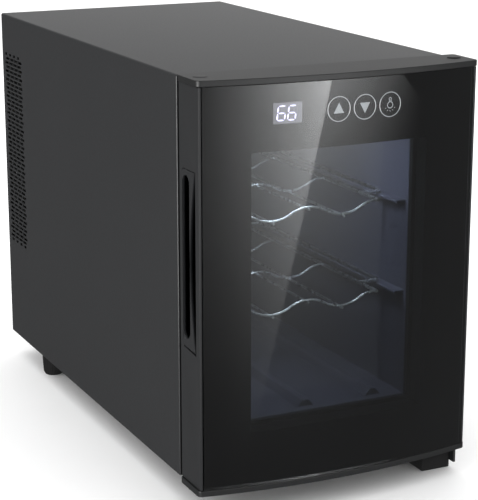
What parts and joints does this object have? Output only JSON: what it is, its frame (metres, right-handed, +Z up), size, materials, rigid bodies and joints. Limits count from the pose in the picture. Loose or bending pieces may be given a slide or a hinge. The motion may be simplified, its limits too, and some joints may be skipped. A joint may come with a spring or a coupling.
{
  "type": "wine cooler",
  "caption": "Countertop thermoelectric wine cooler: steel cabinet, curved glass door hinged on the right, wavy wire shelves, rear fan unit.",
  "frame": {"origin": "centre of the bounding box in X and Y, on the surface the feet stand on", "axes": "+X to the viewer's right when facing the door, +Y from the door to the back, +Z up"},
  "size_m": [0.252, 0.5, 0.36],
  "materials": {
    "powder_coat": "fine-texture matte black powder coat on folded steel",
    "frame_plastic": "moulded black ABS, fine spark texture",
    "cap_plastic": "moulded black ABS, satin",
    "handle_plastic": "semi-gloss moulded black ABS",
    "tinted_glass": "bent tempered glass, polished",
    "clear_glass": "flat tempered glass, polished",
    "gasket_rubber": "extruded black magnetic gasket",
    "foot_rubber": "moulded black rubber",
    "liner_plastic": "vacuum-formed dark grey polystyrene",
    "pu_foam": "poured rigid polyurethane foam",
    "aluminium": "extruded",
    "ceramic": "alumina tiles",
    "fan_plastic": "moulded black PBT",
    "circuit_board": "green glass-epoxy laminate",
    "socket_plastic": "moulded black",
    "diffuser": "frosted polycarbonate",
    "display_face": "smoked display face",
    "touch_foam": "conductive foam",
    "zinc_steel": "zinc plated",
    "acetal": "moulded acetal",
    "chrome_wire": "polished chrome plate"
  },
  "bodies": {
    "cabinet": {"outer_wrap": "powder_coat", "base_plate": "powder_coat", "rear_cover": "powder_coat", "lower_hinge_bracket": "powder_coat", "front_frame": "frame_plastic", "inner_liner": "liner_plastic", "air_duct": "liner_plastic", "foam_insulation": "pu_foam", "cold_sink": "aluminium", "hot_sink": "aluminium", "peltier_module": "ceramic", "cold_fan_frame": "fan_plastic", "hot_fan_frame": "fan_plastic", "power_supply_board": "circuit_board", "lamp_board": "circuit_board", "power_inlet": "socket_plastic", "lamp_cover": "diffuser", "upper_hinge_bracket": "zinc_steel", "upper_hinge_pin": "zinc_steel", "lower_hinge_pin": "zinc_steel", "hinge_foot": "foot_rubber", "front_left_foot": "foot_rubber", "rear_left_foot": "foot_rubber", "rear_right_foot": "foot_rubber", "cover_screw_1": "zinc_steel", "cover_screw_2": "zinc_steel", "cover_screw_3": "zinc_steel", "cover_screw_4": "zinc_steel", "upper_bracket_screw_1": "zinc_steel", "upper_bracket_screw_2": "zinc_steel", "lower_bracket_screw_1": "zinc_steel", "lower_bracket_screw_2": "zinc_steel"},
    "door": {"door_bottom_cap": "cap_plastic", "door_top_cap": "cap_plastic", "door_left_rail": "frame_plastic", "door_right_rail": "frame_plastic", "handle_insert": "handle_plastic", "outer_glass": "tinted_glass", "door_inner_frame": "frame_plastic", "inner_glass": "clear_glass", "door_gasket": "gasket_rubber", "control_board": "circuit_board", "display_module": "display_face", "touch_pad_up": "touch_foam", "touch_pad_down": "touch_foam", "touch_pad_lamp": "touch_foam", "hinge_plug": "fan_plastic", "spare_hole_plug": "cap_plastic", "upper_hinge_bush": "acetal", "lower_hinge_bush": "acetal"},
    "upper_shelf": {"upper_shelf": "chrome_wire"},
    "lower_shelf": {"lower_shelf": "chrome_wire"},
    "cold_fan": {"cold_fan_rotor": "fan_plastic"},
    "hot_fan": {"hot_fan_rotor": "fan_plastic"}
  },
  "joints": [
    {"name": "door_hinge", "type": "hinge", "parent": "cabinet", "child": "door", "pos_m": [0.1142, -0.2184, 0.19], "axis": [0, 0, 1], "range_deg": [0, 115]},
    {"name": "upper_shelf_slide", "type": "slide", "parent": "cabinet", "child": "upper_shelf", "axis": [0, -1, 0], "range_m": [0, 0.0905]},
    {"name": "lower_shelf_slide", "type": "slide", "parent": "cabinet", "child": "lower_shelf", "axis": [0, -1, 0], "range_m": [0, 0.0905]},
    {"name": "cold_fan_spin", "type": "hinge", "parent": "cabinet", "child": "cold_fan", "pos_m": [0, 0.13, 0.1922], "axis": [0, 1, 0], "continuous": true},
    {"name": "hot_fan_spin", "type": "hinge", "parent": "cabinet", "child": "hot_fan", "pos_m": [0, 0.224, 0.1922], "axis": [0, 1, 0], "continuous": true}
  ],
  "couplings": [
    {"joint": "upper_shelf_slide", "follows": "door_hinge", "m_per_rad": 0.045},
    {"joint": "lower_shelf_slide", "follows": "door_hinge", "m_per_rad": 0.045}
  ]
}
